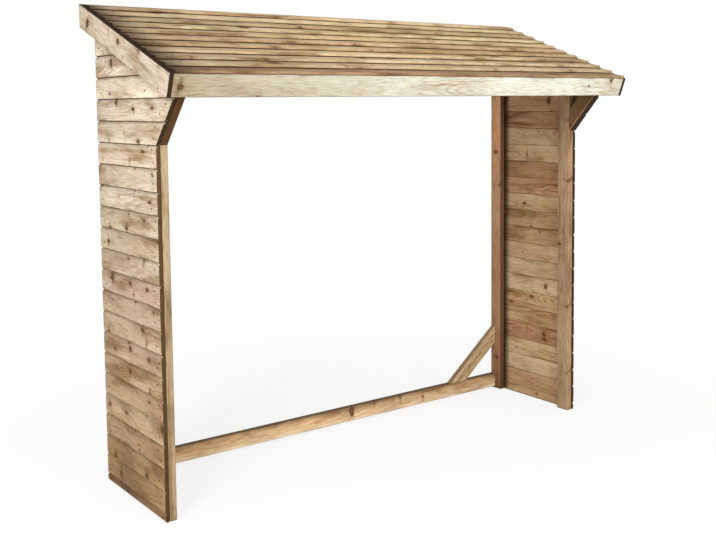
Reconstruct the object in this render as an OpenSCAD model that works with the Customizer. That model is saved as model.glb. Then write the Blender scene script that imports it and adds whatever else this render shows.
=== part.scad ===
// Timber log store with an open bay. Two shiplap side panels flare forward under the eaves,
// a roof of lapped boards falls to the front, and a braced rail ties the foot of the back.
// Millimetres. +Z is up, the front faces -Y, and the origin is on the ground in the middle of the plan.

/* [Side panels] */
// Width over the outer faces of the two side panels
store_w = 2120; // [1000:10:3600]
// Depth of a side panel from the front of its front post to its back
panel_d = 515; // [400:5:900]
// Angle of the flare's slanted edge above level
flare_angle = 48; // [35:1:60]
// Distance behind the fascia at which that edge meets the roof boards
flare_back = 12; // [0:1:60]

/* [Wall boards] */
// Height that each wall board covers
board_pitch = 81; // [60:1:140]
// Thickness of a wall board
board_t = 16; // [11:0.5:22]
// Height of the tongue that the next board up laps
board_lap = 8; // [5:0.5:14]
// Thickness of that tongue
tongue_t = 7.5; // [4:0.5:8]
// Gap between neighbouring boards
board_gap = 1; // [0.5:0.1:3]
// Radius of the scoop along a board's upper edge
scoop_r = 9; // [6:0.5:14]
// Depth of the scoop where it meets the next board
scoop_depth = 5; // [2:0.5:6]

/* [Battens] */
// Wide face of the posts, rails, rafters, struts and brace
batten_w = 66; // [40:1:90]
// Narrow face of the same battens
batten_t = 28; // [18:1:50]

/* [Back] */
// Height of the bottom rail above the ground
rail_lift = 10; // [0:1:60]
// Length of the bottom rail that the brace takes up
brace_run = 304; // [200:1:420]
// Height that the brace climbs the right rear post above the rail
brace_rise = 246; // [160:1:420]

/* [Roof] */
// Height of the roof line at the back, along the upper edge of the bargeboards
roof_back_h = 1848; // [1400:1:2400]
// Fall of the roof toward the front, in degrees
roof_slope = 20.5; // [14:0.5:26]
// Overhang of the roof line in front of the posts, measured level
front_overhang = 241; // [120:1:400]
// Clear overhang of the roof boards beyond the side panels
side_overhang = 42; // [0:1:120]
// Number of lapped roof boards
roof_boards = 11; // [8:1:14]
// Thickness of a roof board
roof_board_t = 12; // [8:0.5:18]
// How far each roof board laps the one below
roof_lap = 14; // [8:1:30]
// Drip of the lowest roof board beyond the fascia
drip = 5; // [0:1:20]

/* [Trim] */
// Depth of the bargeboards
barge_h = 82; // [50:1:140]
// Thickness of the bargeboards
barge_t = 16; // [10:1:30]
// Depth of the front fascia
fascia_h = 82; // [50:1:140]
// Thickness of the front fascia
fascia_t = 16; // [10:1:30]

/* [Hidden] */
SIDES = ["left", "right"];
SIDE_PIECES = [
    "front_post", "rear_post", "front_strut", "rafter",
    "straight_boards", "flare_boards", "bargeboard",
];
$fn = 48;

// Clearance between a tongue and the lip that covers it
tongue_clear = 0.5;
// Clearance between lapped roof boards
roof_clear = 0.2;
// Least share of a course for which a top board is still cut
least_course_share = 0.3;

// Half widths: out to the boards' inner face, to the battens' inner face and to the roof boards' ends
boards_x = store_w / 2 - board_t;
battens_x = boards_x - batten_t;
roof_x = store_w / 2 + side_overhang;

// Length of the roof line down the slope
roof_l = (panel_d + front_overhang) / cos(roof_slope);

// Roof boards: what shows of each, its tilt from the roof line, its own fall and its width
exposure = (roof_l + drip) / roof_boards;
lap_tilt = asin((roof_board_t + roof_clear) / exposure);
board_fall = roof_slope - lap_tilt;
roof_board_w = exposure + roof_lap;

// Levels square to the roof line: the top and underside of the rafters
deck_n = -roof_board_w * sin(lap_tilt);
rafter_n = deck_n - batten_w;

// Place of the fascia's back face along the roof line
fascia_back_l = roof_l - fascia_t;

// The flare's slanted edge: where it meets the roof boards, and its level at the front post
flare_tip = roof_pt(fascia_back_l - flare_back, deck_n);
flare_z = flare_tip[1] + flare_tip[0] * tan(flare_angle);

// Whole courses of boards below the flare and courses above it; a part board fills up to the ground
straight_courses = floor(flare_z / board_pitch);
flare_courses = ceil((roof_z(panel_d, deck_n) - flare_z) / board_pitch - least_course_share);

// Front edge of the roof, and the shift that centres the plan on the origin
front_y = roof_board_pt(1, 0, roof_board_t)[0];
middle_y = (front_y + panel_d) / 2;

// Height of a joint between wall boards, counted from the one where the flare starts
function joint_z(course) = flare_z + course * board_pitch;

// Point in the Y-Z plane, l down the roof line from the back and n square above it
function roof_pt(l, n) = [
    panel_d - l * cos(roof_slope) - n * sin(roof_slope),
    roof_back_h - l * sin(roof_slope) + n * cos(roof_slope),
];

// Height at depth y of a line that runs n square above the roof line
function roof_z(y, n) = roof_back_h - (panel_d - y) * tan(roof_slope) + n / cos(roof_slope);

// Point on a roof board, counted up from the eaves, measured up its width and through its thickness
function roof_board_pt(i, along, up) =
    roof_pt(roof_l + drip - (i - 1) * exposure, 0)
    + along * [cos(board_fall), sin(board_fall)]
    + up * [-sin(board_fall), cos(board_fall)];

// Width of a roof board at a given level in its thickness where it is cut plumb at the back
function plumb_along(i, up) = (panel_d - roof_board_pt(i, 0, up)[0]) / cos(board_fall);

// Outline of the space behind the fascia and below a level that follows the roof
function under_roof(n) = [
    [panel_d, 0],
    [panel_d, roof_z(panel_d, n)],
    roof_pt(fascia_back_l, n),
    roof_pt(fascia_back_l, -fascia_h),
    [roof_pt(fascia_back_l, -fascia_h)[0], 0],
];

// A piece t thick from x outward, whose outline is drawn in the Y-Z plane
module side_cut(x, t) {
    translate([x, 0, 0])
        rotate([90, 0, 90])
            linear_extrude(height = t)
                children();
}

// A piece that runs from depth y back over a length, whose outline is drawn in the X-Z plane
module front_cut(y, length) {
    translate([0, y + length, 0])
        rotate([90, 0, 0])
            linear_extrude(height = length)
                children();
}

// An upright batten under the rafter with its front at depth y
module post(y) {
    side_cut(battens_x, batten_t)
        intersection() {
            translate([y, 0])
                square([batten_w, roof_back_h]);
            polygon(under_roof(rafter_n));
        }
}

// Section of a whole wall board, from its inner face out: a lip below, a tongue above
// and a scoop along the upper edge of the outer face
module board_section() {
    body_z = board_lap + board_gap;
    lip_x = tongue_t + tongue_clear;
    lip_top = board_pitch - board_gap;
    difference() {
        union() {
            translate([0, body_z])
                square([board_t, lip_top - body_z]);
            translate([0, body_z])
                square([tongue_t, lip_top]);
            translate([lip_x, 0])
                square([board_t - lip_x, lip_top]);
        }
        translate([board_t + scoop_r - scoop_depth, lip_top])
            circle(r = scoop_r);
    }
}

// Wall boards of a run of courses, from depth y back to the panel's rear edge
module board_run(courses, y) {
    for (course = courses)
        translate([boards_x, 0, joint_z(course)])
            front_cut(y, panel_d - y)
                board_section();
}

module front_post() {
    color("burlywood")
        post(0);
}

module rear_post() {
    color("burlywood")
        post(panel_d - batten_w);
}

// Slanted batten along the inside of the flare's edge, from the front post up to the rafter
module front_strut() {
    strut_top = batten_w / cos(flare_angle);
    color("peru")
        side_cut(battens_x, batten_t)
            intersection() {
                polygon([
                    [0, flare_z],
                    [0, flare_z + strut_top],
                    flare_tip + [0, strut_top],
                    flare_tip,
                ]);
                polygon(under_roof(rafter_n));
            }
}

module rafter() {
    color("burlywood")
        side_cut(battens_x, batten_t)
            polygon(rafter_outline(panel_d));
}

// Outline of a rafter from a plumb cut at depth y to the back of the fascia
function rafter_outline(y) = [
    [y, roof_z(y, rafter_n)],
    [y, roof_z(y, deck_n)],
    roof_pt(fascia_back_l, deck_n),
    roof_pt(fascia_back_l, rafter_n),
];

// The part board at the ground and the whole boards that end at the front post
module straight_boards() {
    color("tan") {
        translate([boards_x, 0, 0])
            front_cut(0, panel_d)
                intersection() {
                    translate([0, joint_z(-straight_courses - 1)])
                        board_section();
                    square([board_t, board_pitch]);
                }
        board_run([-straight_courses : -1], 0);
    }
}

// The boards above, which run forward to the slanted edge and are cut to the roof
module flare_boards() {
    color("tan")
        intersection() {
            board_run([0 : flare_courses - 1], roof_pt(fascia_back_l, deck_n)[0]);
            side_cut(boards_x, board_t)
                polygon([
                    [0, flare_z],
                    [panel_d, flare_z],
                    [panel_d, roof_z(panel_d, deck_n)],
                    flare_tip,
                ]);
        }
}

// Diagonal between the bottom rail and the right rear post, the only one that the store has
module brace() {
    angle = atan(brace_rise / brace_run);
    rail_top = rail_lift + batten_w;
    color("burlywood")
        front_cut(panel_d - batten_t, batten_t)
            polygon([
                [battens_x - brace_run, rail_top],
                [battens_x, rail_top + brace_rise],
                [battens_x, rail_top + brace_rise - batten_w / cos(angle)],
                [battens_x - brace_run + batten_w / sin(angle), rail_top],
            ]);
}

// Board over the roof boards' ends: plumb at the back, square to the slope at the front
module bargeboard() {
    color("tan")
        side_cut(roof_x, barge_t)
            polygon([
                [panel_d, roof_z(panel_d, -barge_h)],
                [panel_d, roof_z(panel_d, 0)],
                roof_pt(roof_l, 0),
                roof_pt(roof_l, -barge_h),
            ]);
}

module rear_bottom_rail() {
    color("burlywood")
        translate([-battens_x, panel_d - batten_t, rail_lift])
            cube([2 * battens_x, batten_t, batten_w]);
}

// Rail between the rafters at the back, its top planed to the roof
module rear_top_rail() {
    rail_y = panel_d - batten_t;
    rail_base = roof_z(panel_d, deck_n) - batten_w;
    color("burlywood")
        side_cut(-battens_x, 2 * battens_x)
            polygon([
                [rail_y, rail_base],
                [panel_d, rail_base],
                [panel_d, roof_z(panel_d, deck_n)],
                [rail_y, roof_z(rail_y, deck_n)],
            ]);
}

module middle_rafter() {
    color("burlywood")
        side_cut(-batten_t / 2, batten_t)
            polygon(rafter_outline(panel_d - batten_t));
}

// Wide board across the eaves, square to the slope, its top planed to the lowest roof board
module front_fascia() {
    color("wheat")
        side_cut(-roof_x, 2 * roof_x)
            polygon([
                roof_pt(fascia_back_l, -fascia_h),
                roof_pt(fascia_back_l, -(drip + fascia_t) * tan(lap_tilt)),
                roof_pt(roof_l, -drip * tan(lap_tilt)),
                roof_pt(roof_l, -fascia_h),
            ]);
}

// One lapped roof board, counted up from the eaves; the last is cut plumb at the back
module roof_board(i) {
    last = i == roof_boards;
    color("tan")
        side_cut(-roof_x, 2 * roof_x)
            polygon([
                roof_board_pt(i, 0, 0),
                roof_board_pt(i, last ? plumb_along(i, 0) : roof_board_w, 0),
                roof_board_pt(i, last ? plumb_along(i, roof_board_t) : roof_board_w, roof_board_t),
                roof_board_pt(i, 0, roof_board_t),
            ]);
}

// Puts a piece of the right panel on either side
module on_side(side) {
    if (side == "left")
        mirror([1, 0, 0]) children();
    else
        children();
}

// Shifts the plan so that its middle is at the origin
module centred() {
    translate([0, -middle_y, 0])
        children();
}

for (side = SIDES) {
    centred() on_side(side) front_post();
    centred() on_side(side) rear_post();
    centred() on_side(side) front_strut();
    centred() on_side(side) rafter();
    centred() on_side(side) straight_boards();
    centred() on_side(side) flare_boards();
    centred() on_side(side) bargeboard();
}
centred() brace();  // right_brace
centred() rear_bottom_rail();
centred() rear_top_rail();
centred() middle_rafter();
centred() front_fascia();
for (i = [1 : roof_boards])
    centred() roof_board(i);
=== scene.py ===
# %% [markdown]
# A timber log store. Two side panels of shiplap boards flare forward under the eaves, a roof of lapped
# boards falls to the front, and a braced rail ties the foot of the open back.
#
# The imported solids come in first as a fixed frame. They have the true sizes, but sharp edges and no grain.
# Each is then modelled again as the timber it is, with eased edges, saw cuts and nails, and takes its place.

# %% Load the frame
import math
import random

import bmesh
import bpy
from mathutils import Euler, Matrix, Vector


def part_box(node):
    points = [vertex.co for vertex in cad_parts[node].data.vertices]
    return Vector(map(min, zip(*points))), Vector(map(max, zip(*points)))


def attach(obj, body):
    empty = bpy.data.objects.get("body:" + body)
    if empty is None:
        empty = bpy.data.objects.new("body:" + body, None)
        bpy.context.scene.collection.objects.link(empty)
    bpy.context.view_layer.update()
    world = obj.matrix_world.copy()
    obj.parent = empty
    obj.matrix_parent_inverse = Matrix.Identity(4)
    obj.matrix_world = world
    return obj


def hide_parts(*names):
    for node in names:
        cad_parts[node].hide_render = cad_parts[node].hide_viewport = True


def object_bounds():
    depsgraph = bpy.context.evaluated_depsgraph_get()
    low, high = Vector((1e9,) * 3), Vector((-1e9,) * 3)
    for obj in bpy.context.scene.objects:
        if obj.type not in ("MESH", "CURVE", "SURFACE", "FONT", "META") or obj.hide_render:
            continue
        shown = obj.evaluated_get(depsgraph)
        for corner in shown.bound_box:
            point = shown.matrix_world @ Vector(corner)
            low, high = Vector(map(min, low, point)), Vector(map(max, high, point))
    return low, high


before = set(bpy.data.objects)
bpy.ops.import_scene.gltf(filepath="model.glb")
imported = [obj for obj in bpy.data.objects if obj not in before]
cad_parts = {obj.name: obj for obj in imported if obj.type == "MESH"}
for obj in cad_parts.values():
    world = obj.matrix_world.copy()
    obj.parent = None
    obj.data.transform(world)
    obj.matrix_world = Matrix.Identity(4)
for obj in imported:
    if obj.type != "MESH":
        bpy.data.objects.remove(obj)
cad_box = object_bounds()
print("CAD nodes:", len(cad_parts), "box:", [[round(v, 4) for v in corner] for corner in cad_box])

# %% [markdown]
# Sizes. The store is laid out as a joiner would, from the back plane, the front of the posts, the joint
# where the flare starts and the top of the roof. Those four are read from the frame, so that the new timber
# lands where the solids are. The others are stock sizes, which are clearer written down.

# %% Sizes of the walls, in metres
front_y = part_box("left_front_post")[0][1]
back_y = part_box("left_rear_post")[1][1]
flare_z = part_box("left_flare_boards")[0][2]
roof_top_z = cad_box[1][2]

wall_x, board_t, board_pitch = 1.060, 0.016, 0.081
batten_w, batten_t = 0.066, 0.028
trim_w, trim_t = 0.082, 0.016
boards_x = wall_x - board_t
battens_x = boards_x - batten_t
print("flare joint at", round(flare_z, 4))

# %% Sizes of the roof
slope, flare = math.radians(20.5), math.radians(48)
panel_d, front_overhang, side_overhang = 0.515, 0.241, 0.042
roof_board_t, roof_boards = 0.012, 11
drip, roof_lap, lap_clear = 0.005, 0.014, 0.0002

roof_x = wall_x + side_overhang
roof_l = (panel_d + front_overhang) / math.cos(slope)
exposure = (roof_l + drip) / roof_boards
lap_tilt = math.asin((roof_board_t + lap_clear) / exposure)
board_fall = slope - lap_tilt
roof_board_w = exposure + roof_lap
deck_n = -roof_board_w * math.sin(lap_tilt)
rafter_n = deck_n - batten_w


def roof_point(along, above, x=0.0):
    """A point measured down the roof line from the back, and square above it."""
    return Vector((
        x,
        back_y - along * math.cos(slope) - above * math.sin(slope),
        roof_top_z - along * math.sin(slope) + above * math.cos(slope),
    ))


roof_normal = Vector((0, -math.sin(slope), math.cos(slope)))
down_roof = Vector((0, -math.cos(slope), -math.sin(slope)))
print("roof length", round(roof_l, 4))

# %% [markdown]
# Camera. The photograph was taken from the left, at about eye height, and its uprights stand nearly plumb.
# Tilting a camera down leans them, and a lens shift, as on a view camera, doesn't. Each gives about half of
# the framing here, because other views keep the shift, and it lifts the object in their frame. The place,
# angles and lens come from lining up the corners of the frame with those in the photograph.

# %% Camera
camera_place = (-2.5083, -3.2559, 1.4602)
camera_angles = (85.415, 0.600, -36.455)
lens_mm, sensor_mm, lens_shift = 49.75, 36, -0.12

bpy.ops.object.select_all(action="DESELECT")
bpy.ops.object.camera_add(location=camera_place, rotation=[math.radians(a) for a in camera_angles])
camera = bpy.context.object
camera.data.lens = lens_mm
camera.data.sensor_width = sensor_mm
camera.data.shift_y = lens_shift
bpy.context.scene.camera = camera
print("camera", [round(v, 3) for v in camera.location], "lens", camera.data.lens)

# %% [markdown]
# Stage. A pale floor and white surroundings, as in a studio with a paper roll. More lamps would whiten the
# floor, and bleach the timber too. So the floor glows by itself in what the camera sees, and near the object
# a share is left to the lamps, to draw its soft shadow.


# %% Helpers for nodes
def put(tree, kind, sets=None, **props):
    """Adds a node, sets its options, and fills its sockets with links or plain values."""
    node = tree.nodes.new(kind)
    for name, value in props.items():
        setattr(node, name, value)
    for socket, value in (sets or {}).items():
        if isinstance(value, bpy.types.NodeSocket):
            tree.links.new(value, node.inputs[socket])
        else:
            node.inputs[socket].default_value = value
    return node


def maths(tree, operation, *values):
    """A Math node of up to three values; returns its output."""
    return put(tree, "ShaderNodeMath", dict(enumerate(values)), operation=operation).outputs[0]


def product(tree, first, second):
    """Two values multiplied."""
    return maths(tree, "MULTIPLY", first, second)


def ramp(tree, value, low, high, start, end):
    """Maps low..high smoothly to start..end."""
    sets = {"Value": value, "From Min": low, "From Max": high, "To Min": start, "To Max": end}
    return put(tree, "ShaderNodeMapRange", sets, interpolation_type="SMOOTHSTEP").outputs[0]


def length(tree, vector):
    """The length of a vector."""
    return put(tree, "ShaderNodeVectorMath", {0: vector}, operation="LENGTH").outputs["Value"]


def seen_directly(tree):
    """1 for rays that the camera sends, also by way of gloss and glass."""
    path = put(tree, "ShaderNodeLightPath").outputs
    gloss = maths(tree, "MAXIMUM", path["Is Glossy Ray"], path["Is Transmission Ray"])
    return maths(tree, "MAXIMUM", path["Is Camera Ray"], gloss)


def fresh_material(name):
    """An empty node material, its tree and its output."""
    material = bpy.data.materials.new(name)
    material.use_nodes = True
    material.node_tree.nodes.clear()
    output = put(material.node_tree, "ShaderNodeOutputMaterial")
    return material, material.node_tree, output


print("node helpers ready")

# %% Floor
floor_size, floor_drop = 60, 0.0005
shadow_r, paper_r = 0.8, 2.8
least_glow, full_glow = 0.80, 1.0

floor_material, tree, output = fresh_material("paper_floor")
paper = put(tree, "ShaderNodeBsdfDiffuse", {"Color": (0.86, 0.86, 0.86, 1)})
glow = put(tree, "ShaderNodeEmission", {"Color": (1, 1, 1, 1), "Strength": 1})
away = length(tree, put(tree, "ShaderNodeTexCoord").outputs["Object"])
glowing = ramp(tree, away, shadow_r, paper_r, least_glow, full_glow)
share = product(tree, seen_directly(tree), glowing)
both = put(tree, "ShaderNodeMixShader", {0: share, 1: paper.outputs[0], 2: glow.outputs[0]})
tree.links.new(both.outputs[0], output.inputs["Surface"])

bpy.ops.mesh.primitive_plane_add(size=floor_size, location=(0, 0, -floor_drop))
floor = bpy.context.object
floor.name = "floor"
floor.data.materials.append(floor_material)
print("floor", floor_size, "m across")

# %% Surroundings and lamps
world = bpy.data.worlds.new("studio")
bpy.context.scene.world = world
world.use_nodes = True
tree = world.node_tree
tree.nodes.clear()
soft = put(tree, "ShaderNodeBackground", {"Color": (1, 0.985, 0.965, 1), "Strength": 0.62})
white = put(tree, "ShaderNodeBackground", {"Color": (1, 1, 1, 1), "Strength": 1})
both = put(tree, "ShaderNodeMixShader", {0: seen_directly(tree), 1: soft.outputs[0], 2: white.outputs[0]})
put(tree, "ShaderNodeOutputWorld", {"Surface": both.outputs[0]})


def lamp(name, place, aim, power, size):
    """A square soft box that looks from its place at a point."""
    bpy.ops.object.light_add(type="AREA", location=place)
    box = bpy.context.object
    box.name = name
    box.data.energy = power
    box.data.size = size
    box.rotation_euler = (Vector(aim) - Vector(place)).to_track_quat("-Z", "Y").to_euler()


lamp("key_lamp", place=(-4.6, -3.0, 3.6), aim=(-0.4, 0, 1.3), power=250, size=2.4)
lamp("front_lamp", place=(-0.6, -5.6, 2.0), aim=(0.7, 0, 1.0), power=200, size=2.4)
bpy.context.scene.view_settings.view_transform = "Standard"

# %% [markdown]
# Softwood. The boards are sawn from young spruce or pine: wide growth rings that show as arches and
# stripes, brown heartwood against pale sapwood, and knots where branches were. A picture would repeat from
# board to board, so the figure is worked out from where each board lay in its log. An attribute called grain
# holds the distance along the log and the two distances from its pith, and the rings are the distance from
# the pith, cut into bands. Two node groups hold this, and six finishes use them.


# %% Node group: figure of the wood
def new_group(name, inputs, outputs):
    """An empty shader node group with named sockets."""
    group = bpy.data.node_groups.new(name, "ShaderNodeTree")
    for way, sockets in (("INPUT", inputs), ("OUTPUT", outputs)):
        for label, kind in sockets.items():
            group.interface.new_socket(name=label, in_out=way, socket_type="NodeSocket" + kind)
    return group, put(group, "NodeGroupInput").outputs, put(group, "NodeGroupOutput").inputs


def scaled(tree, vector, by):
    """A vector with each part multiplied."""
    return put(tree, "ShaderNodeVectorMath", {0: vector, 1: by}, operation="MULTIPLY").outputs[0]


def pair(tree, x, y):
    """A vector of two values."""
    return put(tree, "ShaderNodeCombineXYZ", {0: x, 1: y}).outputs[0]


def noise(tree, vector, by, detail):
    """Cloudy noise on a scaled vector."""
    sets = {"Vector": scaled(tree, vector, by), "Scale": 1.0, "Detail": detail, "Roughness": 0.55}
    return put(tree, "ShaderNodeTexNoise", sets).outputs


def centred(tree, value, width):
    """Spreads 0..1 over a width, half of it below zero."""
    return maths(tree, "MULTIPLY_ADD", value, width, -width / 2)


FIGURE = ("Late wood", "Heart", "Fibres", "Streaks", "Patches", "Drift",
          "Knot", "Knot rim", "Knot halo", "Smudge")
figure, given, result = new_group(
    "softwood_figure",
    {"Grain": "Vector", "Ring width": "Float", "Knot size": "Float", "Knot share": "Float",
     "Knot stretch": "Float"},
    {label: "Float" for label in FIGURE},
)
grain = given["Grain"]
parts = put(figure, "ShaderNodeSeparateXYZ", {0: grain}).outputs
print("figure:", *FIGURE)

# %% Figure: knots, one in each cell of a stretched grid, many of them too small to show
cell_l, cell_w, lean = 0.15, 0.06, 0.6
trail_l, trail_w, trail_bend = 0.014, 0.050, 0.036
least_knot, knot_ragged, trail_ragged = 0.0002, 0.010, 0.8

leaning = maths(figure, "MULTIPLY_ADD", parts[2], lean, parts[0])
flat = scaled(figure, pair(figure, leaning, parts[1]), (1 / cell_l, 1 / cell_w, 0))
cells = put(figure, "ShaderNodeTexVoronoi", {"Vector": flat, "Scale": 1.0, "Randomness": 0.9},
            voronoi_dimensions="2D").outputs
chances = put(figure, "ShaderNodeSeparateColor", {0: cells["Color"]}).outputs
apart = put(figure, "ShaderNodeVectorMath", {0: flat, 1: cells["Position"]}, operation="SUBTRACT")
apart = put(figure, "ShaderNodeSeparateXYZ", {0: apart.outputs[0]}).outputs
apart_x = product(figure, apart[0], cell_l)
apart_y = product(figure, apart[1], cell_w)

ragged = noise(figure, grain, (150, 150, 150), 2.0)[0]
drawn_out = ramp(figure, chances[1], 0.5, 1.0, 0.75, 1.7)
away = length(figure, pair(
    figure, maths(figure, "DIVIDE", apart_x, given["Knot stretch"]),
    maths(figure, "DIVIDE", apart_y, drawn_out)))
away = maths(figure, "ADD", away, centred(figure, ragged, knot_ragged))
least = maths(figure, "SUBTRACT", 1.0, given["Knot share"])
grown = maths(figure, "POWER", ramp(figure, chances[0], least, 1.0, 0.0, 1.0), 1.4)
radius = product(figure, grown, given["Knot size"])
turns = maths(figure, "DIVIDE", away, maths(figure, "MAXIMUM", radius, least_knot))
knot = ramp(figure, turns, 0.65, 1.15, 1.0, 0.0)
rim = product(figure, knot, ragged)
rim = product(figure, rim, ramp(figure, turns, 0.4, 0.85, 0.0, 1.6))
halo = maths(figure, "POWER", product(figure, turns, 0.5), 4.0)
halo = maths(figure, "DIVIDE", 1.0, maths(figure, "ADD", 1.0, halo))

# A smudge crosses the board at some grown knots, along a bent line
bent = noise(figure, grain, (16, 16, 16), 1.0)[0]
trail_x = maths(figure, "ADD", apart_x, centred(figure, bent, trail_bend))
trail = length(figure, pair(
    figure, maths(figure, "DIVIDE", trail_x, trail_l), maths(figure, "DIVIDE", apart_y, trail_w)))
trail = maths(figure, "ADD", trail, centred(figure, ragged, trail_ragged))
chosen = product(
    figure, ramp(figure, chances[2], 0.35, 0.8, 0.0, 0.95), ramp(figure, grown, 0.03, 0.25, 0.0, 1.0))
smudge = product(figure, ramp(figure, trail, 0.0, 1.0, 1.0, 0.0), chosen)
print("knots in cells of", cell_l, "by", cell_w, "m")

# %% Figure: rings, the distance from a pith that wanders along the log and swells round a knot
pith_across, pith_through, knot_swell, ring_unevenness = 0.07, 0.12, 1.7, 0.6
heart_r, sap_r = 0.036, 0.060

pith_path = noise(figure, grain, (1.7, 0, 0), 1.0)["Color"]
pith_path = put(figure, "ShaderNodeSeparateColor", {0: pith_path}).outputs
across = maths(figure, "ADD", parts[1], centred(figure, pith_path[0], pith_across))
through = maths(figure, "ADD", parts[2], centred(figure, pith_path[1], pith_through))
from_pith = maths(figure, "SQRT", maths(
    figure, "ADD", product(figure, across, across), product(figure, through, through)))
from_pith = maths(figure, "MULTIPLY_ADD", product(figure, halo, radius), knot_swell, from_pith)
uneven = noise(figure, grain, (5, 70, 70), 2.0)[0]
rings = maths(figure, "DIVIDE", from_pith, given["Ring width"])
band = maths(figure, "FRACT", maths(figure, "MULTIPLY_ADD", uneven, ring_unevenness, rings))
late = product(
    figure, ramp(figure, band, 0.2, 0.85, 0.0, 1.0), ramp(figure, band, 0.88, 1.0, 1.0, 0.0))
strong = noise(figure, grain, (2.1, 9, 9), 1.0)[0]
late = product(figure, late, ramp(figure, strong, 0.38, 0.66, 0.15, 1.0))
streaks = ramp(figure, noise(figure, grain, (1.6, 75, 75), 2.0)[0], 0.52, 0.70, 0.0, 1.0)
streaks = product(figure, streaks, ramp(figure, strong, 0.48, 0.62, 0.0, 1.0))

heart = ramp(figure, from_pith, heart_r, sap_r, 1.0, 0.0)
fibres = noise(figure, grain, (20, 230, 230), 3.0)[0]
patches = noise(figure, grain, (4.5, 17, 17), 3.0)[0]
drift = noise(figure, grain, (1.9, 6, 6), 1.0)[0]
for label, value in zip(FIGURE, (late, heart, fibres, streaks, patches, drift, knot, rim, halo, smudge)):
    figure.links.new(value, result[label])
print("figure group:", len(figure.nodes), "nodes")


# %% Node group: colour of the wood
def blend(tree, kind, factor, first, second):
    """A colour mix of the given kind; returns its output."""
    sets = {0: factor, 6: first, 7: second}
    return put(tree, "ShaderNodeMix", sets, data_type="RGBA", blend_type=kind).outputs[2]


colour, given, result = new_group(
    "softwood_colour",
    {"Tone": "Color", **{label: "Float" for label in FIGURE},
     "Stain and shade": "Float", "Edge": "Float", "Contrast": "Float", "Blotch": "Float"},
    {"Color": "Color"},
)
warm_tint, cool_tint = (0.97, 0.94, 0.89, 1), (1.03, 1.03, 1.02, 1)
heart_tint, late_tint = (0.84, 0.74, 0.63, 1), (0.62, 0.48, 0.35, 1)
bleached_tint, blotch_tint = (1.19, 1.21, 1.23, 1), (0.60, 0.50, 0.39, 1)
fibre_tint, streak_tint, smudge_tint = (0.69, 0.61, 0.52, 1), (0.56, 0.43, 0.31, 1), (0.50, 0.40, 0.31, 1)

drift = ramp(colour, given["Drift"], 0.36, 0.64, 0.0, 1.0)
bleach = ramp(colour, given["Patches"], 0.30, 0.46, 1.0, 0.0)
lift = ramp(colour, given["Patches"], 0.46, 0.70, 0.0, 1.0)
streak = maths(colour, "MINIMUM", product(colour, given["Streaks"], given["Contrast"]), 0.6)
warm = blend(colour, "MULTIPLY", 1.0, given["Tone"], warm_tint)
cool = blend(colour, "MULTIPLY", 1.0, given["Tone"], cool_tint)
now = blend(colour, "MIX", drift, warm, cool)
for share, tint in (
        (product(colour, given["Heart"], 0.4), heart_tint),
        (product(colour, given["Late wood"], given["Contrast"]), late_tint),
        (product(colour, bleach, given["Blotch"]), bleached_tint),
        (product(colour, lift, given["Blotch"]), blotch_tint),
        (ramp(colour, given["Fibres"], 0.42, 0.70, 0.0, 0.8), fibre_tint),
        (product(colour, streak, 1.5), streak_tint),
        (given["Smudge"], smudge_tint)):
    now = blend(colour, "MULTIPLY", share, now, tint)
print("plain wood:", len(colour.nodes), "nodes")

# %% Colour: knots, fainter on the narrow edges
halo_tint = (0.66, 0.50, 0.36, 1)
knot_brown, rim_black = (0.10, 0.046, 0.020, 1), (0.030, 0.015, 0.008, 1)

off_middle = maths(colour, "ABSOLUTE", maths(colour, "SUBTRACT", given["Edge"], 0.5))
inside = ramp(colour, off_middle, 0.40, 0.5, 1.0, 0.3)
now = blend(colour, "MULTIPLY", product(colour, given["Knot halo"], 0.55), now, halo_tint)
knot = product(colour, given["Knot"], product(colour, inside, 0.88))
now = blend(colour, "MIX", knot, now, knot_brown)
rim = product(colour, maths(colour, "MINIMUM", given["Knot rim"], 0.9), inside)
now = blend(colour, "MIX", rim, now, rim_black)
print("with knots:", len(colour.nodes), "nodes")

# %% Colour: stain and painted shade, which up to 1 darken the wood brown, and from there to 2 turn it black
soak_and_shade_tint = (0.21, 0.13, 0.06, 1)
soak_and_shade_brown, stain_and_shade_black = (0.074, 0.037, 0.012, 1), (0.016, 0.009, 0.004, 1)

# Stain soaks the wood brown, and the same colour paints shade where the stain attribute carries it.
soaked_and_shaded = blend(colour, "MULTIPLY", 1.0, given["Tone"], soak_and_shade_tint)
soaked_and_shaded = blend(colour, "MIX", 0.6, soaked_and_shaded, soak_and_shade_brown)
worn = ramp(colour, off_middle, 0.40, 0.5, 0.0, 0.45)
wet_and_shaded = maths(colour, "MAXIMUM", given["Stain and shade"], product(colour, worn, lift))
now = blend(colour, "MIX", maths(colour, "MINIMUM", wet_and_shaded, 1.0), now, soaked_and_shaded)
black = maths(colour, "MAXIMUM", maths(colour, "SUBTRACT", given["Stain and shade"], 1.0), 0.0)
now = blend(colour, "MIX", black, now, stain_and_shade_black)
colour.links.new(now, result["Color"])
print("colour group:", len(colour.nodes), "nodes")


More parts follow.
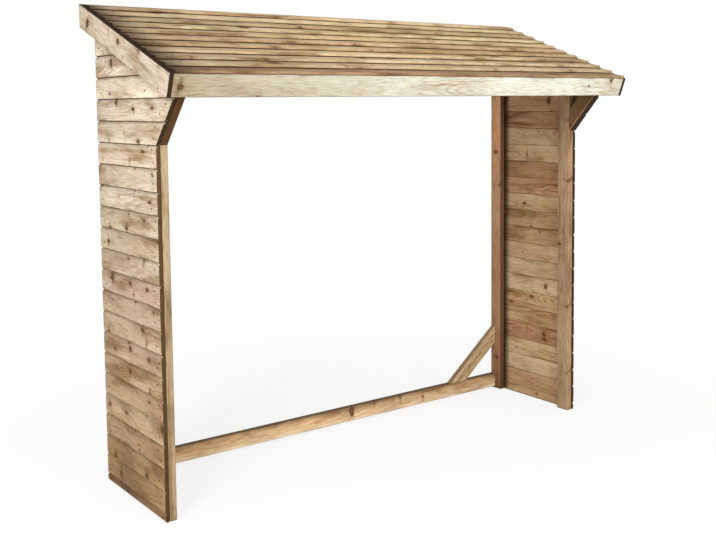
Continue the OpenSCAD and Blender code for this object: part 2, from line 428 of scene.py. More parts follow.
# %% Finishes
def timber(name, ring_width, knot_size, knot_share, contrast, blotch, roughness, knot_stretch):
    """A finish of planed softwood, from the piece's grain, tone, knots and stain, where tone and stain also
    carry painted light and shade.
    """
    material, tree, output = fresh_material(name)
    grain, tone, stain_and_shade, knots = (
        put(tree, "ShaderNodeAttribute", attribute_name=label).outputs
        for label in ("grain", "tone", "stain_and_shade", "knots"))
    wood = put(tree, "ShaderNodeGroup", {
        "Grain": grain["Vector"], "Ring width": ring_width, "Knot share": knot_share,
        "Knot size": product(tree, knots["Fac"], knot_size), "Knot stretch": knot_stretch}, node_tree=figure)
    paint = put(tree, "ShaderNodeGroup", {
        **{label: wood.outputs[label] for label in FIGURE}, "Tone": tone["Color"], "Edge": tone["Alpha"],
        "Stain and shade": stain_and_shade["Fac"], "Contrast": contrast, "Blotch": blotch}, node_tree=colour)
    relief = maths(tree, "MULTIPLY_ADD", wood.outputs["Late wood"], 0.6, wood.outputs["Fibres"])
    bump = put(tree, "ShaderNodeBump", {"Strength": 0.35, "Distance": 0.0008, "Height": relief})
    dull = maths(tree, "MULTIPLY_ADD", wood.outputs["Late wood"], -0.12, roughness)
    shader = put(tree, "ShaderNodeBsdfPrincipled", {
        "Base Color": paint.outputs[0], "Roughness": dull, "Normal": bump.outputs[0],
        "Specular IOR Level": 0.14})
    tree.links.new(shader.outputs[0], output.inputs["Surface"])
    return material


# Name, ring width, knot size, knot share, contrast, blotch, roughness, knot stretch
wall_finish, shaded_wall_finish, batten_finish, roof_finish, fascia_finish, barge_finish = (
    timber(*row) for row in (
        ("wall_boards", 0.0085, 0.0105, 0.60, 0.50, 0.95, 0.78, 1.5),
        ("shaded_wall_boards", 0.0075, 0.015, 0.45, 0.80, 0.70, 0.78, 1.0),
        ("battens", 0.0075, 0.011, 0.35, 0.50, 0.50, 0.76, 1.0),
        ("roof_boards", 0.0080, 0.0135, 0.32, 0.50, 0.80, 0.80, 2.4),
        ("fascia_board", 0.0062, 0.011, 0.35, 0.50, 0.30, 0.76, 1.3),
        ("bargeboards", 0.0085, 0.012, 0.70, 0.45, 0.90, 0.78, 1.0)))
print("finishes:", [m.name for m in bpy.data.materials])

# %% [markdown]
# Tools for modelling by hand in code. A block of timber starts as a cube at its size and place. In edit
# mode, faces and edges are picked by where they are and which way they point, and the operators that a hand
# would use shape them. Saw cuts are bisects that throw the waste away and close the end.

# %% Helpers: selecting
tiny, near, parallel = 1e-5, 1e-4, 0.9


def only(piece):
    """Makes a piece the one selected, active object."""
    bpy.ops.object.select_all(action="DESELECT")
    piece.select_set(True)
    bpy.context.view_layer.objects.active = piece


def edit(piece):
    """Opens a piece in edit mode."""
    only(piece)
    bpy.ops.object.mode_set(mode="EDIT")


def done():
    """Leaves edit mode."""
    bpy.ops.object.mode_set(mode="OBJECT")


def open_mesh(kind):
    """Deselects all in edit mode, for picking faces, edges or points."""
    bpy.ops.mesh.select_all(action="DESELECT")
    bpy.ops.mesh.select_mode(type=kind)
    mesh = bpy.context.object.data
    return mesh, bmesh.from_edit_mesh(mesh)


def pick_faces(test):
    """Selects the faces whose middle and normal pass a test."""
    mesh, bm = open_mesh("FACE")
    bm.normal_update()
    for face in bm.faces:
        face.select_set(bool(test(face.calc_center_median(), face.normal)))
    bmesh.update_edit_mesh(mesh)


def pick_edges(test):
    """Selects the edges whose middle and direction pass a test."""
    mesh, bm = open_mesh("EDGE")
    for edge in bm.edges:
        first, second = (v.co for v in edge.verts)
        edge.select_set(bool(test((first + second) / 2, (second - first).normalized())))
    bmesh.update_edit_mesh(mesh)


def pick_points(test):
    """Selects the points that pass a test."""
    mesh, bm = open_mesh("VERT")
    for point in bm.verts:
        point.select_set(bool(test(point.co)))
    bm.select_flush(True)
    bmesh.update_edit_mesh(mesh)


print("picks are good to", tiny, "m")


# %% Helpers: cutting and placing
def block(name, low, high):
    """A cube between two corners, with its size applied."""
    bpy.ops.object.select_all(action="DESELECT")
    bpy.ops.mesh.primitive_cube_add(size=1)
    cube = bpy.context.object
    cube.name = cube.data.name = name
    cube.scale = [h - l for l, h in zip(low, high)]
    cube.location = [(h + l) / 2 for l, h in zip(low, high)]
    bpy.ops.object.transform_apply(location=True, rotation=True, scale=True)
    return cube


def ease(test, width, segments=2, profile=0.5):
    """Rounds the edges that pass a test."""
    pick_edges(test)
    bpy.ops.mesh.bevel(offset=width, segments=segments, profile=profile, affect="EDGES")


def divide(test, cuts):
    """Subdivides the edges that pass a test."""
    pick_edges(test)
    bpy.ops.mesh.subdivide(number_cuts=cuts)


def score(place, normal):
    """Cuts an edge line round the piece and keeps both sides."""
    bpy.ops.mesh.select_all(action="SELECT")
    bpy.ops.mesh.bisect(plane_co=place, plane_no=normal)


def saw(piece, place, normal):
    """Cuts the piece and throws away the side that the normal points to."""
    edit(piece)
    bpy.ops.mesh.select_all(action="SELECT")
    bpy.ops.mesh.bisect(plane_co=place, plane_no=normal, use_fill=True, clear_outer=True)
    done()


def settle(piece, place=(0, 0, 0), turn=(0, 0, 0)):
    """Turns and moves a piece, and puts that into its mesh."""
    only(piece)
    piece.rotation_euler = turn
    piece.location = place
    bpy.ops.object.transform_apply(location=True, rotation=True, scale=True)


def copy_of(piece, name):
    """A copy with a mesh of its own."""
    only(piece)
    bpy.ops.object.duplicate(linked=False)
    twin = bpy.context.object
    twin.name = twin.data.name = name
    return twin


def joined(pieces, name):
    """Joins pieces into the first and names it."""
    bpy.ops.object.select_all(action="DESELECT")
    for piece in pieces:
        piece.select_set(True)
    bpy.context.view_layer.objects.active = pieces[0]
    bpy.ops.object.join()
    whole = bpy.context.object
    whole.name = whole.data.name = name
    return whole


def to_left(piece):
    """Mirrors a right-hand piece to the left and turns its faces outward again."""
    edit(piece)
    bpy.ops.mesh.select_all(action="SELECT")
    bpy.ops.transform.resize(value=(-1, 1, 1), center_override=(0, 0, 0))
    bpy.ops.mesh.normals_make_consistent(inside=False)
    done()


def scrap(piece):
    """Removes a pattern piece that was only there to be copied."""
    only(piece)
    bpy.ops.object.delete()


print("shaping helpers ready")

# %% [markdown]
# Marking the timber. Before a piece is fixed it is told how it lay in its log: which way its length runs,
# which way its width, and how far its middle was from the pith. A tone gives the board its own colour, and
# in places painted light and shade too. Knots says how large its knots grow, and stain marks the faces that
# drank more preservative, cut ends and sawn edges, and also carries painted shade in corners and under
# edges. A material for each board could say the same, but attributes let all of them share one finish.

# %% Grain, tone, knots and stain
rng = random.Random(7)
end_grain = 0.45


def tinted(first, second, share, spread=0.06):
    """A colour between two, a little lighter or darker by chance."""
    level = 1 + rng.uniform(-spread, spread)
    return [level * (a + (b - a) * share) * (1 + rng.uniform(-0.02, 0.02)) for a, b in zip(first, second)]


def mark(piece, along, wide, tone, low, high, stain_and_shade=None, pith=None, ends=1.0, knots=1.0):
    """Writes the attributes. low and high bound the width, which tells its edges from its middle."""
    mesh = piece.data
    thick = Vector(along).cross(Vector(wide))
    start = rng.uniform(0, 60)
    spread = rng.uniform(0.8, 1.25)
    side, depth = pith or (rng.uniform(-0.03, 0.03), rng.choice((-1, 1)) * rng.uniform(0.015, 0.075))
    middle = sum((v.co for v in mesh.vertices), Vector()) / len(mesh.vertices)
    kinds = {"grain": ("FLOAT_VECTOR", "POINT"), "tone": ("FLOAT_COLOR", "POINT"),
             "knots": ("FLOAT", "POINT"), "stain_and_shade": ("FLOAT", "FACE")}
    for name, (kind, domain) in kinds.items():
        mesh.attributes.new(name, kind, domain)
    grain, shade, size, soak_and_shade = (mesh.attributes[name].data for name in kinds)
    for v in mesh.vertices:
        off = v.co - middle
        grain[v.index].vector = (
            start + off.dot(along), (side + off.dot(wide)) * spread, (depth + off.dot(thick)) * spread)
        size[v.index].value = knots
        here = tone(v.co) if callable(tone) else tone
        shade[v.index].color = (*here, (v.co.dot(wide) - low) / (high - low))
    # Cut ends take the ends value; other faces take the stain function, which also paints shade.
    for face in mesh.polygons:
        end = abs(face.normal.dot(along)) > end_grain
        soak_and_shade[face.index].value = ends if end else (stain_and_shade(face.center, face.normal) if stain_and_shade else 0.0)


PALE, AMBER = (0.70, 0.642, 0.548), (0.375, 0.238, 0.125)
HONEY, RUSSET = (0.40, 0.27, 0.155), (0.33, 0.19, 0.105)
OLIVE, PINKISH = (0.46, 0.35, 0.225), (0.45, 0.28, 0.175)
STRAW, ASHEN = (0.66, 0.545, 0.355), (0.55, 0.49, 0.40)
CREAM, LEFT_END_SHADE = (0.665, 0.70, 0.655), (0.31, 0.272, 0.18)
finished = {}
print("tones ready")

# %% [markdown]
# Wall boards. Each is shiplap: a tongue along its upper edge, a lip along its lower edge that laps the next
# tongue down, and a scoop under the lip that throws the rain off and draws the dark line between boards.
# It could be an outline pushed to length, but cutting it from a plank shows what each part of the section is
# for: the tongue and lip are extruded from the plank's edges, and the scoop is a hollow bevel.

# %% One wall board
lap, gap, tongue_t, lip_x = 0.008, 0.001, 0.0075, 0.008
lip_top = board_pitch - gap
scoop_in, scoop_down, scoop_start = 0.005, 0.00806, 0.004
board_l, board_cuts = 0.80, 26
lip_ease, tongue_ease = 0.0016, 0.0012


def lengthwise(d):
    """True for the edges along a wall board."""
    return abs(d.y) > parallel


pattern = block("wall_board", (0, 0, lap + gap), (board_t, board_l, lip_top))
edit(pattern)
score((tongue_t, 0, 0), (1, 0, 0))
score((lip_x, 0, 0), (1, 0, 0))
pick_faces(lambda c, n: n.z > parallel and c.x < tongue_t)
bpy.ops.mesh.extrude_region_move(TRANSFORM_OT_translate={"value": (0, 0, lap + gap)})
pick_faces(lambda c, n: n.z < -parallel and c.x > lip_x)
bpy.ops.mesh.extrude_region_move(TRANSFORM_OT_translate={"value": (0, 0, -lap - gap)})

# The scoop: a hollow bevel, then stretched to its width and drop
ease(lambda c, d: lengthwise(d) and c.x > board_t - tiny and c.z > lip_top - tiny, scoop_start, 6, 0.1)
pick_points(lambda p: p.x > board_t - scoop_start - tiny and p.z > lip_top - scoop_start - tiny)
bpy.ops.transform.resize(
    value=(scoop_in / scoop_start, 1, scoop_down / scoop_start), center_override=(board_t, 0, lip_top))

# The lip's edges and the tongue's are eased, and the length is divided so that it can wander
ease(lambda c, d: lengthwise(d) and c.z < tiny, lip_ease)
ease(lambda c, d: lengthwise(d) and c.z > lip_top + lap, tongue_ease)
ease(lambda c, d: lengthwise(d) and c.x < tiny and abs(c.z - lap - gap) < tiny, lip_ease)
divide(lambda c, d: lengthwise(d), board_cuts)
done()
lip = pattern.vertex_groups.new(name="lip")
lip.add([v.index for v in pattern.data.vertices if v.co.z < lap], 1.0, "REPLACE")
print("wall board:", len(pattern.data.polygons), "faces")

# %% [markdown]
# Laying the boards. The flare starts at a joint, so the courses are counted up and down from it. An array
# would make every board alike. Instead each is a copy with its own wander along the lip, sawn at both ends,
# and above the flare joint sawn along the slanted edge and the roof. A part board is left at the ground.

# %% Colours of the wall boards
below, above = int(flare_z // board_pitch), 6
post_line = back_y - batten_w
shade_w, shade_least, shade_inside, pocket_shade = 0.040, 0.03, 0.0025, 0.25
arris_w, arris_shade = 0.008, 0.62


def beside_post(tone):
    """Painted shade: the inner face is dark in the pocket behind the strut, and darkens toward the rear
    post.
    """
    def at(p):
        here = tone(p) if callable(tone) else tone
        clear = (post_line - p.y) / shade_w
        if p.x < boards_x + shade_inside and p.y < front_y + batten_w / 2:
            return [pocket_shade * v for v in here]
        if p.x > boards_x + shade_inside or clear > 1:
            return here
        return [(shade_least + (1 - shade_least) * max(0, clear) ** 1.5) * v for v in here]
    return at


def wall_stain_and_shade(joint):
    """Where a wall board is dark: the joint line at the top of its scoop, painted shade on the rest of the
    scoop, the underside of its lip, the tongue, and a painted contact shadow along the edge on the ground.
    """
    groove, scoop_shade, ground_shadow, under_lip, on_tongue = 0.75, 0.12, 1.6, 0.95, 0.85
    lip_edge, ground_edge, scoop_x = 0.0012, 0.006, boards_x + board_t - scoop_in - near

    def stain_and_shade(c, n):
        up = c.z - joint
        # The top of the scoop is the dark joint line; the rest of the scoop gets painted shade.
        if up > lip_top - scoop_down and c.x > scoop_x and n.z > 0.1:
            return groove if up > lip_top - scoop_down * 0.3 else scoop_shade
        # The edge on the ground gets a painted contact shadow.
        if n.z < -0.5 or up < lip_edge:
            return ground_shadow if c.z < ground_edge else under_lip
        return on_tongue if abs(n.z) > 0.5 else 0.0
    return stain_and_shade


def left_tone(course):
    """Paler up the wall, and on each board toward its lower edge and front end; soiled near the ground."""
    share = (course + below + 1) / (below + above)
    tone = tinted(AMBER, PALE, share + rng.uniform(-0.08, 0.08))
    if course < -below:
        tone = [a * b for a, b in zip(tone, (0.80, 0.86, 0.93))]
    joint = flare_z + course * board_pitch
    soiled = max(0.0, 0.34 - 0.12 * (course + below))
    soil_place, soil_reach = 0.38, 0.26

    def at(p):
        up = (p.z - joint) / board_pitch
        front = (back_y - p.y) / (back_y - front_y)
        dark = soiled * math.exp(-((front - soil_place) / soil_reach) ** 2)
        # Painted shade: a dark line along the rear arris of each board.
        arris = arris_shade if back_y - p.y < arris_w / 2 else 1.0
        # The level falls from the foot of each board up to the lip above: painted light at the foot, painted
        # shade under the lip.
        level = (1.09 - 0.17 * up) * (1 + 0.16 * share * (front - 0.6)) * (1 - dark) * arris
        return [level * v for v in tone]
    return at


def right_tone(course):
    """Russet, honey or olive by chance; painted light makes the upper courses lighter, under the roof, where
    little light comes in.
    """
    tone = tinted(rng.choice((RUSSET, HONEY)), OLIVE, rng.uniform(0, 1), 0.1)
    level = 1.08 + 0.9 * max(0, course + 1) / above
    return [level * v for v in tone]


print("courses below the flare joint:", below + 1, "above it:", above)

# %% Lay the wall boards
wave = bpy.data.textures.new("lip_wander", "CLOUDS")
wave.noise_scale = 0.09
lip_wander, blank_over, ground_ease = 0.0022, 0.02, 0.006
flare_ends = 1.8


def wander(piece, texture, strength, group, lift=False):
    """Pushes a group of points a little up and down along the piece, or only up."""
    only(piece)
    shift = piece.modifiers.new("wander", "DISPLACE")
    for option, value in {
            "texture": texture, "texture_coords": "GLOBAL", "direction": "Z", "space": "GLOBAL",
            "mid_level": 0.15 if lift else 0.5, "strength": strength, "vertex_group": group}.items():
        setattr(shift, option, value)
    bpy.ops.object.modifier_apply(modifier=shift.name)


def lay(course, tone, flared, ends):
    """One board of the right panel, at its course, cut to length."""
    joint = flare_z + course * board_pitch
    board = copy_of(pattern, "board")
    settle(board, (boards_x, back_y - board_l + blank_over, joint))
    edit(board)
    for share in (0.12, 0.35, 0.65, 1.0):
        score((0, post_line - share * shade_w, 0), (0, 1, 0))
    score((0, back_y - arris_w, 0), (0, 1, 0))
    done()
    wander(board, wave, lip_wander, "lip")
    saw(board, (0, back_y - rng.uniform(0, 0.001), 0), (0, 1, 0))
    if flared:
        out = Vector((0, -math.sin(flare), -math.cos(flare)))
        saw(board, Vector((0, front_y, flare_z)) - out * rng.uniform(0, 0.001), out)
        saw(board, roof_point(0, deck_n), roof_normal)
    else:
        saw(board, (0, front_y + rng.uniform(0, 0.0015), 0), (0, -1, 0))
        if joint < 0:
            saw(board, (0, 0, 0), (0, 0, -1))
            edit(board)
            ease(lambda c, d: lengthwise(d) and c.z < tiny, ground_ease, 1)
            done()
    mark(board, Vector((0, 1, 0)), Vector((0, 0, 1)), beside_post(tone), joint, joint + board_pitch,
         wall_stain_and_shade(joint), ends=ends)
    return board


for side, tone_of, straight_ends, finish in (
        ("left", left_tone, 1.28, wall_finish), ("right", right_tone, 1.85, shaded_wall_finish)):
    for part, courses in (("straight", range(-below - 1, 0)), ("flare", range(above))):
        flared = part == "flare"
        ends = max(straight_ends, flare_ends) if flared else straight_ends
        panel = joined([lay(c, tone_of(c), flared, ends) for c in courses], f"{side}_{part}_timber")
        if side == "left":
            to_left(panel)
        panel.data.materials.append(finish)
        finished[panel] = ("wall_board", [f"{side}_{part}_boards"])
        print(panel.name, len(panel.data.polygons), "faces")
scrap(pattern)

# %% [markdown]
# Battens. Posts, struts, rafters, rails and the brace are cut from one section with its long edges eased,
# as it comes from the planer. Each could be drawn at its final shape, but a joiner takes a length with some
# to spare, sets it in place and saws it where it meets its neighbour. One function does that for all.


# %% One batten
def unit(axis):
    """The direction of an axis, 0 to 2."""
    return Vector([i == axis for i in range(3)])


batten_ease, foot_ease, batten_ends, rows_along = 0.0022, 0.004, 1.2, 6


def batten(name, node, low, high, axis, turn=(0, 0, 0), place=(0, 0, 0), cuts=(), tone=HONEY, stain_and_shade=None,
           knots=0.7, rows=0):
    """A batten for a solid, between two corners and along an axis: eased, turned, placed and sawn."""
    piece = block(name, low, high)
    run = unit(axis)
    edit(piece)
    if rows:
        divide(lambda c, d: abs(d.z) > parallel, rows)
        divide(lambda c, d: abs(d.dot(run)) > parallel, rows * rows_along)
    middle = (Vector(low) + Vector(high)) / 2
    reach = [(h - l) / 2 - tiny for l, h in zip(low, high)]
    ease(lambda c, d: abs(d.dot(run)) > parallel and all(
        abs(c[i] - middle[i]) > reach[i] for i in range(3) if i != axis), batten_ease, 3)
    done()
    settle(piece, place, turn)
    for at, normal in cuts:
        saw(piece, at, normal)
    if axis == 2:
        edit(piece)
        ease(lambda c, d: abs(d.z) < 0.1 and c.z < tiny, foot_ease, 1)
        done()
    spin = Euler(turn).to_matrix()
    run, across = spin @ run, spin @ unit(1 if axis == 2 else 2)
    reach = [v.co.dot(across) for v in piece.data.vertices]
    mark(piece, run, across, tone, min(reach), max(reach), stain_and_shade, ends=batten_ends, knots=knots)
    piece.data.materials.append(batten_finish)
    if node.startswith("left"):
        to_left(piece)
    finished[piece] = ("batten", [node])


print("batten section:", batten_w, "by", batten_t, "m")

# %% Colours of the battens
brace_run, brace_rise, rail_lift = 0.304, 0.246, 0.010
rail_top = rail_lift + batten_w
LEFT_POST, POST_FRONT, POST_INSIDE = (0.325, 0.245, 0.152), (0.37, 0.228, 0.127), (0.355, 0.26, 0.165)
BRACE, RAIL, RAIL_BLEACHED = (0.44, 0.335, 0.205), (0.60, 0.42, 0.245), (0.70, 0.59, 0.44)
soiled_h, dim_from, dim_h = 0.13, 0.5, 0.8


def post_tone(side):
    """The left post is sandy all round, the right one olive inside and more orange in front."""
    def at(p):
        if side == "left":
            return LEFT_POST
        return POST_FRONT if p.y < front_y + near else POST_INSIDE
    return at


def rear_post_tone():
    """Reddish and soiled near the ground; painted light makes the inner face lighter toward the top, which
    is dim under the roof.
    """
    tone = tinted(RUSSET, PINKISH, rng.uniform(0.2, 0.8))

    def at(p):
        most = 1.0 if p.y < post_line + near else 1.6
        lighter = min(most, 0.78 + 0.8 * max(0, (p.z - dim_from) / dim_h) ** 2)
        level = (0.5 + 0.5 * min(1, p.z / soiled_h)) * lighter
        return [level * v for v in tone]
    return at


def rail_tone(p):
    """Darker along the top, by a line that comes and goes, and bleached along the foot."""
    up = (p.z - rail_lift) / batten_w
    line = 0.07 * math.sin(5.1 * p.x + 1) + 0.05 * math.sin(13 * p.x)
    shade = 1 / (1 + math.exp(-22 * (up - 0.82 + line)))
    bleach = max(0.0, 1 - up / 0.45)
    level = 1.0 - 0.11 * p.x - 0.12 * up - 0.48 * shade
    return [level * (a + (b - a) * bleach) for a, b in zip(RAIL, RAIL_BLEACHED)]


def mid_tone(first, second):
    """A tone somewhere between two."""
    return tinted(first, second, rng.uniform(0.2, 0.8))


def dark_top(level, foot=0.0):
    """Stain on the upper face, and less on the lower one."""
    return lambda c, n: level if n.z > 0.6 else foot if n.z < -0.3 else 0.0


def strut_stain_shade_and_highlight(side):
    """Painted shade on the front face, which faces down under the flare, on the right nearly black, with a
    painted highlight on its inner arris; the other faces are stained.
    """
    def stain_and_shade(c, n):
        if side == "left":
            return 1.05 if n.y < -0.3 else 0.75
        if n.y < -0.15:
            return 0.0 if n.x < -0.2 else 1.75
        return 0.68
    return stain_and_shade


print("rail top at", round(rail_top, 4))

# %% Posts, rafters and struts of the side panels
under_rafter = (roof_point(0, rafter_n), roof_normal)
under_roof = (roof_point(0, deck_n), roof_normal)
behind_fascia = (roof_point(roof_l - trim_t, 0), down_roof)
flush_back = ((0, back_y, 0), (0, 1, 0))
front_blank, rear_blank = 1.8, 1.84
rafter_blank, strut_blank = (-0.86, 0.05), (-0.45, 0.15)

for side in ("left", "right"):
    # On the left post, painted shade on the eased arris between its front and inner faces.
    batten(f"{side}_front_post_timber", f"{side}_front_post",
           (battens_x, front_y, 0), (boards_x, front_y + batten_w, front_blank), 2,
           cuts=[under_rafter], tone=post_tone(side), knots=0.0 if side == "left" else 0.7,
           stain_and_shade=lambda c, n: 0.3 if n.y < -0.2 and n.x < -0.2 and side == "left" else 0.0)
    # The rear post's front face, in the corner under the roof, gets painted shade.
    batten(f"{side}_rear_post_timber", f"{side}_rear_post",
           (battens_x, post_line, 0), (boards_x, back_y, rear_blank), 2, cuts=[under_rafter],
           tone=rear_post_tone(), stain_and_shade=lambda c, n: 0.85 if n.y < -0.7 else 0.0, rows=2)
    # The rafters are in deep shadow under the roof: painted shade all over.
    batten(f"{side}_rafter_timber", f"{side}_rafter",
           (battens_x, rafter_blank[0], -batten_w), (boards_x, rafter_blank[1], 0), 1,
           turn=(slope, 0, 0), place=roof_point(0, deck_n), cuts=[flush_back, behind_fascia],
           tone=mid_tone(HONEY, OLIVE), stain_and_shade=lambda c, n: 1.2)
    batten(f"{side}_strut_timber", f"{side}_front_strut",
           (battens_x, strut_blank[0], 0), (boards_x, strut_blank[1], batten_w), 1,
           turn=(-flare, 0, 0), place=(0, front_y, flare_z),
           cuts=[((0, front_y, 0), (0, 1, 0)), under_rafter, behind_fascia],
           tone=mid_tone(RUSSET, HONEY), stain_and_shade=strut_stain_shade_and_highlight(side))
print("side panels' battens:", sum(1 for slot, _ in finished.values() if slot == "batten"))

# %% Brace, rails and middle rafter
inner_back = back_y - batten_t
brace_blank, top_over = (-0.1, 0.5), 0.01
top_z = roof_point(0, deck_n).z

batten("right_brace_timber", "right_brace",
       (brace_blank[0], inner_back, -batten_w), (brace_blank[1], back_y, 0), 0,
       turn=(0, -math.atan(brace_rise / brace_run), 0), place=(battens_x - brace_run, 0, rail_top),
       cuts=[((0, 0, rail_top), (0, 0, -1)), ((battens_x, 0, 0), (1, 0, 0))],
       tone=BRACE, stain_and_shade=dark_top(0.5), knots=0.4)
batten("bottom_rail_timber", "rear_bottom_rail",
       (-battens_x, inner_back, rail_lift), (battens_x, back_y, rail_top), 0,
       tone=rail_tone, stain_and_shade=dark_top(0.62, 0.4), knots=1.2, rows=5)
batten("top_rail_timber", "rear_top_rail",
       (-battens_x, inner_back, top_z - batten_w), (battens_x, back_y, top_z + top_over), 0,
       cuts=[under_roof], tone=tinted(HONEY, OLIVE, 0.4))
batten("middle_rafter_timber", "middle_rafter",
       (-batten_t / 2, rafter_blank[0], -batten_w), (batten_t / 2, rafter_blank[1], 0), 1,
       turn=(slope, 0, 0), place=roof_point(0, deck_n),
       cuts=[((0, inner_back, 0), (0, 1, 0)), behind_fascia], tone=tinted(HONEY, OLIVE, 0.5))
print("battens:", sum(1 for slot, _ in finished.values() if slot == "batten"))

# %% [markdown]
# Roof boards. Eleven thin boards lap like tiles, each resting on the one below, so every front edge casts a
# line of shadow. They are sawn rather than planed, and their edges wander a little. A bumpy material could
# hint at that, but the front edges are seen against the light, so one board is modelled, copied and moved.

# %% One roof board
lap_line, nose_d, edge_d, half_t = exposure - 0.004, 0.009, 0.006, roof_board_t / 2
brow_ease, under_ease, roof_cuts = 0.0014, 0.0024, 60

plank = block("roof_board", (-roof_x, 0, 0), (roof_x, roof_board_w, roof_board_t))
edit(plank)
score((0, lap_line, 0), (0, 1, 0))
score((0, nose_d, 0), (0, 1, 0))
ease(lambda c, d: abs(d.x) > parallel and c.y < tiny and c.z > half_t, brow_ease, 2)
ease(lambda c, d: abs(d.x) > parallel and c.y < tiny and c.z < half_t, under_ease, 1)
divide(lambda c, d: abs(d.x) > parallel, roof_cuts)
done()
for name, low, high in (("foot", -0.001, half_t), ("brow", half_t, 0.02)):
    edge = plank.vertex_groups.new(name=name)
    inside = [v.index for v in plank.data.vertices if v.co.y < edge_d and low < v.co.z < high]
    edge.add(inside, 1.0, "REPLACE")
print("roof board:", len(plank.data.polygons), "faces")

# %% Lay the roof boards
saw_wave = bpy.data.textures.new("saw_wander", "CLOUDS")
saw_wave.noise_scale = 0.16
foot_wander, brow_wander, roof_ends = 0.0036, 0.0024, 1.8
left_shade_tint, left_shade_reach = (0.66, 0.63, 0.65), 0.9
barge_shade, barge_reach = 0.22, 0.11
board_up = Vector((0, math.cos(board_fall), math.sin(board_fall)))
board_out = Vector((0, -math.sin(board_fall), math.cos(board_fall)))


def roof_stain_and_shade(start, edge_stain, phase):
    """Painted shade under the front edge, on the underside and where the next board laps; a little stain on
    the sawn edge itself.
    """
    def stain_and_shade(c, n):
        up, out = n.dot(board_up), n.dot(board_out)
        if out < -0.5:
            ripple = math.sin(3.1 * c.x + phase) + 0.6 * math.sin(8.3 * c.x + 2 * phase)
            return 0.65 - 0.1 * c.x + 0.3 * ripple if up < -0.4 else 0.3
        if (c - start).dot(board_up) > lap_line:
            return 0.9
        return edge_stain if up < -0.4 else 0.0
    return stain_and_shade


def shaded_toward_left(tone):
    """Painted shade: the roof darkens toward its left end, and is dark just inside the bargeboard."""
    def at(p):
        right = min(1, max(0, (p.x + roof_x) / left_shade_reach))
        level = barge_shade + (1 - barge_shade) * min(1, (p.x + roof_x) / barge_reach)
        return [level * v * (left + (1 - left) * right) for v, left in zip(tone, left_shade_tint)]
    return at


for i in range(roof_boards):
    piece = copy_of(plank, f"roof_board_{i + 1}_timber")
    start = roof_point(roof_l + drip - i * exposure, 0)
    settle(piece, start, (board_fall, 0, 0))
    wander(piece, saw_wave, foot_wander, "foot", lift=True)
    wander(piece, saw_wave, brow_wander, "brow")
    if i == roof_boards - 1:
        saw(piece, *flush_back)
    tone = tinted(HONEY, STRAW, rng.uniform(0.6, 1.35), 0.08)
    if i == 0:
        tone = tinted(HONEY, RUSSET, 0.0)
    low = start.dot(board_up)
    mark(piece, Vector((1, 0, 0)), board_up, shaded_toward_left(tone), low, low + roof_board_w,
         roof_stain_and_shade(start, rng.uniform(0.0, 0.25), rng.uniform(0, 6)), ends=roof_ends)
    piece.data.materials.append(roof_finish)
    finished[piece] = ("roof_board", [f"roof_board_{i + 1}"])
scrap(plank)
print("roof boards:", roof_boards)

# %% [markdown]
# Trim. A wide fascia covers the rafters' ends across the eaves, and a bargeboard covers the roof boards'
# ends on each side. They are the palest boards, square to the slope at the front. Both are plain planks, so
# they are made flat, eased, and only then tilted to the roof, which keeps every cut square to the board.

# %% Fascia and bargeboards
trim_ease, trim_cuts, trim_ends, trim_knots, barge_over = 0.0025, 12, 1.88, 1.2, 0.05


def trim(name, node, low, high, axis, place, cuts, tone, finish, stain_and_shade, pith=None):
    """A trim board for a solid, made flat along an axis, then tilted to the roof, placed and sawn."""
    piece = block(name, low, high)
    run = unit(axis)
    edit(piece)
    ease(lambda c, d: abs(d.dot(run)) > parallel, trim_ease, 2)
    divide(lambda c, d: abs(d.dot(run)) > parallel, trim_cuts)
    done()
    settle(piece, place, (slope, 0, 0))
    for at, normal in cuts:
        saw(piece, at, normal)
    if axis == 1:
        run = -down_roof
    reach = [v.co.dot(roof_normal) for v in piece.data.vertices]
    mark(piece, run, roof_normal, tone, min(reach), max(reach), stain_and_shade, pith, trim_ends, trim_knots)
    piece.data.materials.append(finish)
    if node.startswith("left"):
        to_left(piece)
    finished[piece] = ("trim_board", [node])


def fascia_tone(p):
    """Painted shade darkens the fascia toward its left end."""
    left = (roof_x - p.x) / 2 / roof_x
    share = 1 - left * left
    return [a + (b - a) * share for a, b in zip(LEFT_END_SHADE, CREAM)]


under_first_board = (roof_point(roof_l + drip, 0), board_out)
# Painted shade on the fascia's underside.
trim("fascia_timber", "front_fascia", (-roof_x, -trim_t, -trim_w), (roof_x, 0, 0), 0,
     roof_point(roof_l - trim_t, 0), [under_first_board], fascia_tone, fascia_finish,
     lambda c, n: 1.05 if n.dot(roof_normal) < -0.3 else 0.0, pith=(0.0, 0.018))
for side in ("left", "right"):
    trim(f"{side}_bargeboard_timber", f"{side}_bargeboard",
         (roof_x, -roof_l, -trim_w), (roof_x + trim_t, barge_over, 0), 1,
         roof_point(0, 0), [flush_back], tinted(ASHEN, PALE, 0.3), barge_finish,
         lambda c, n: 1.95 if n.dot(roof_normal) > 0.5 else 0.0)
print("trim boards:", sum(1 for slot, _ in finished.values() if slot == "trim_board"))

# %% [markdown]
# Nails. Two fix each wall board in front and one behind, and one fixes each roof board to every rafter.
# Darkened by the preservative, they show as dark dots. Painted dots would do from afar, but not close by,
# so one head is modelled: a disc, its rim rounded and its middle drawn up. Copies are turned to their faces,
# and a larger one is the screw in the fascia.

# %% One nail head
nail_r, nail_h, crown_in, crown_up, rim_ease = 0.0032, 0.002, 0.0011, 0.0004, 0.0004

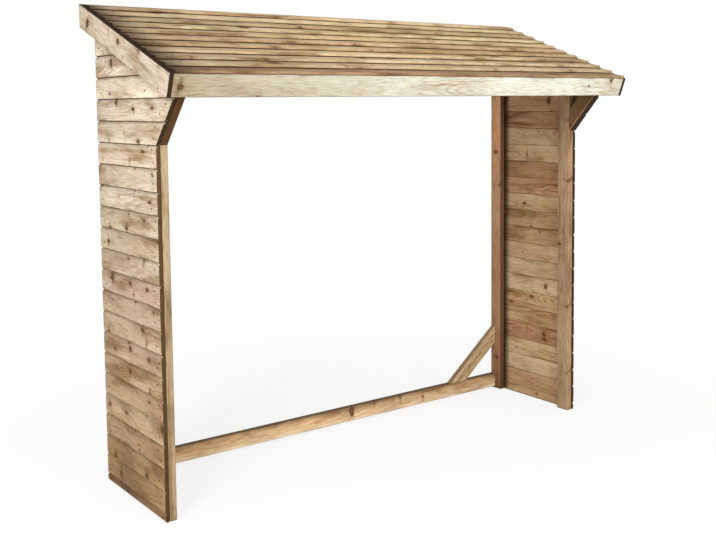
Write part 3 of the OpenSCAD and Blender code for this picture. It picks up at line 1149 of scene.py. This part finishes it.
bpy.ops.object.select_all(action="DESELECT")
bpy.ops.mesh.primitive_cylinder_add(vertices=10, radius=nail_r, depth=nail_h)
head = bpy.context.object
edit(head)
pick_faces(lambda c, n: n.z > parallel)
bpy.ops.mesh.inset(thickness=crown_in)
bpy.ops.transform.translate(value=(0, 0, crown_up))
ease(lambda c, d: c.z > nail_h / 2 - tiny and abs(d.z) < 0.1 and c.xy.length > nail_r - crown_in,
     rim_ease, 1)
done()

steel, tree, output = fresh_material("nail_steel")
shader = put(tree, "ShaderNodeBsdfPrincipled", {
    "Base Color": (0.028, 0.020, 0.015, 1), "Metallic": 0.3, "Roughness": 0.7})
tree.links.new(shader.outputs[0], output.inputs["Surface"])
print("nail head:", len(head.data.polygons), "faces")


# %% Nails
def nailed(name, places, facing, size=1.0):
    """Copies of the nail head at the given points, turned to face outward."""
    turn = Vector(facing).to_track_quat("Z", "Y").to_euler()
    heads = []
    for place in places:
        one = copy_of(head, "nail")
        one.scale = (size, size, 1)
        settle(one, place, turn)
        heads.append(one)
    piece = joined(heads, name)
    piece.data.materials.append(steel)
    finished[piece] = ("nail", [])
    return piece


low_nail, high_nail, clear_of_ground, clear_of_roof = 0.023, 0.057, 0.008, 0.012


def wall_nails():
    """Points on the right panel: two on the front post or the strut, one on the rear post."""
    for course in range(-below - 1, above):
        joint = flare_z + course * board_pitch
        for up in (low_nail, high_nail):
            z = joint + up
            if z < clear_of_ground:
                continue
            lines = [front_y + batten_w / 2]
            if course >= 0:
                edge = front_y - (z - flare_z) / math.tan(flare)
                lines = [edge + batten_w / 2 / math.sin(flare)]
            if up == low_nail:
                lines.append(back_y - batten_w / 2)
            for y in lines:
                spot = Vector((wall_x, y + rng.uniform(-0.014, 0.014), z + rng.uniform(-0.008, 0.008)))
                if (spot - roof_point(0, deck_n)).dot(roof_normal) < -clear_of_roof:
                    yield spot


nailed("right_wall_nails", wall_nails(), (1, 0, 0))
to_left(nailed("left_wall_nails", wall_nails(), (1, 0, 0)))
rafter_lines = (-battens_x - batten_t / 2, 0.0, battens_x + batten_t / 2)
nail_up, screw_n, screw_x, screw_size = 0.03, -0.036, 0.885, 1.6
nailed("roof_nails", [
    roof_point(roof_l + drip - i * exposure, 0) + board_up * nail_up + board_out * roof_board_t
    + Vector((x + rng.uniform(-0.006, 0.006), 0, 0))
    for i in range(roof_boards) for x in rafter_lines], board_out)
nailed("fascia_screw", [roof_point(roof_l, screw_n, screw_x)], down_roof, screw_size)
scrap(head)
print("nail pieces:", [p.name for p, (slot, _) in finished.items() if slot == "nail"])

# %% [markdown]
# Hand over. Every piece rides on the one body, and the solids that it stands for are hidden.

# %% Hand over
for piece, (slot, nodes) in finished.items():
    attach(piece, "root")
    if nodes:
        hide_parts(*nodes)
